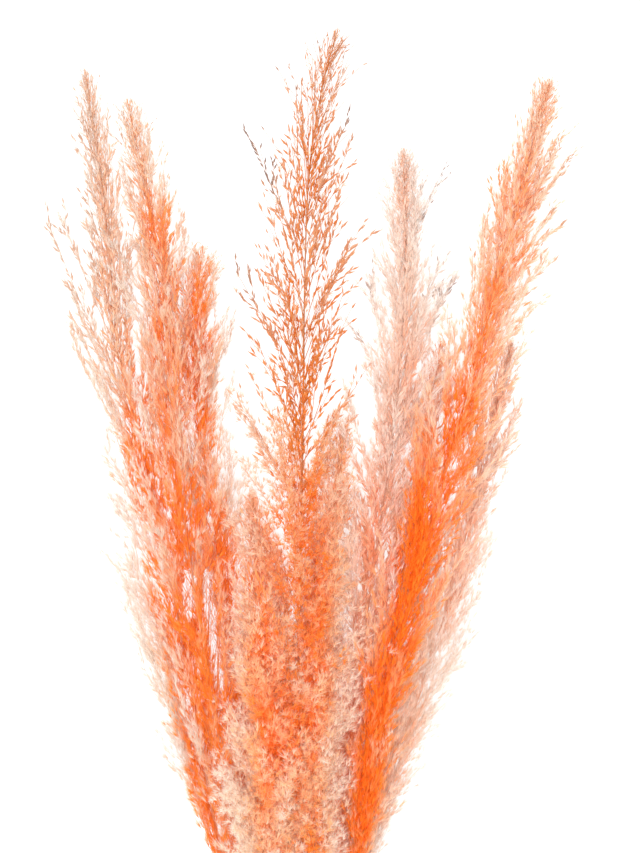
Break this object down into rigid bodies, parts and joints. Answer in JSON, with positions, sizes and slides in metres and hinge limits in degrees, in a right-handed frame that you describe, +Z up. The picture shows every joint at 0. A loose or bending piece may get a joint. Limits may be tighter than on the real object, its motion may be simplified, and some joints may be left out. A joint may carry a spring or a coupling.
{
  "type": "bundle of pampas grass",
  "caption": "Tied bundle of dried, orange-dyed pampas grass lying flat: feathery plumes, a pale one among them, fan out from slim bare canes.",
  "frame": {"origin": "middle of the bundle's footprint, on the surface it lies on", "axes": "+Y along the bundle towards the plume tips, +Z up from the surface, the thinnest way through the bundle"},
  "size_m": [0.416, 1.171, 0.1016],
  "materials": {
    "plume": "soft, matt, silky fluff",
    "pale_plume": "soft, matt, silky fluff",
    "cane": "dry, satin",
    "twine": "matt, hairy"
  },
  "bodies": {
    "root": {"cane_centre_front": "cane", "cane_centre_right": "cane", "cane_centre_tall": "cane", "cane_left_inner": "cane", "cane_left_middle": "cane", "cane_left_outer": "cane", "cane_pale": "cane", "cane_right_inner": "cane", "cane_right_outer": "cane", "cane_right_tall": "cane", "plume_centre_front": "plume", "plume_centre_right": "plume", "plume_centre_tall": "plume", "plume_left_inner": "plume", "plume_left_middle": "plume", "plume_left_outer": "plume", "plume_pale": "pale_plume", "plume_right_inner": "plume", "plume_right_outer": "plume", "plume_right_tall": "plume", "twine_tie": "twine"}
  },
  "joints": []
}
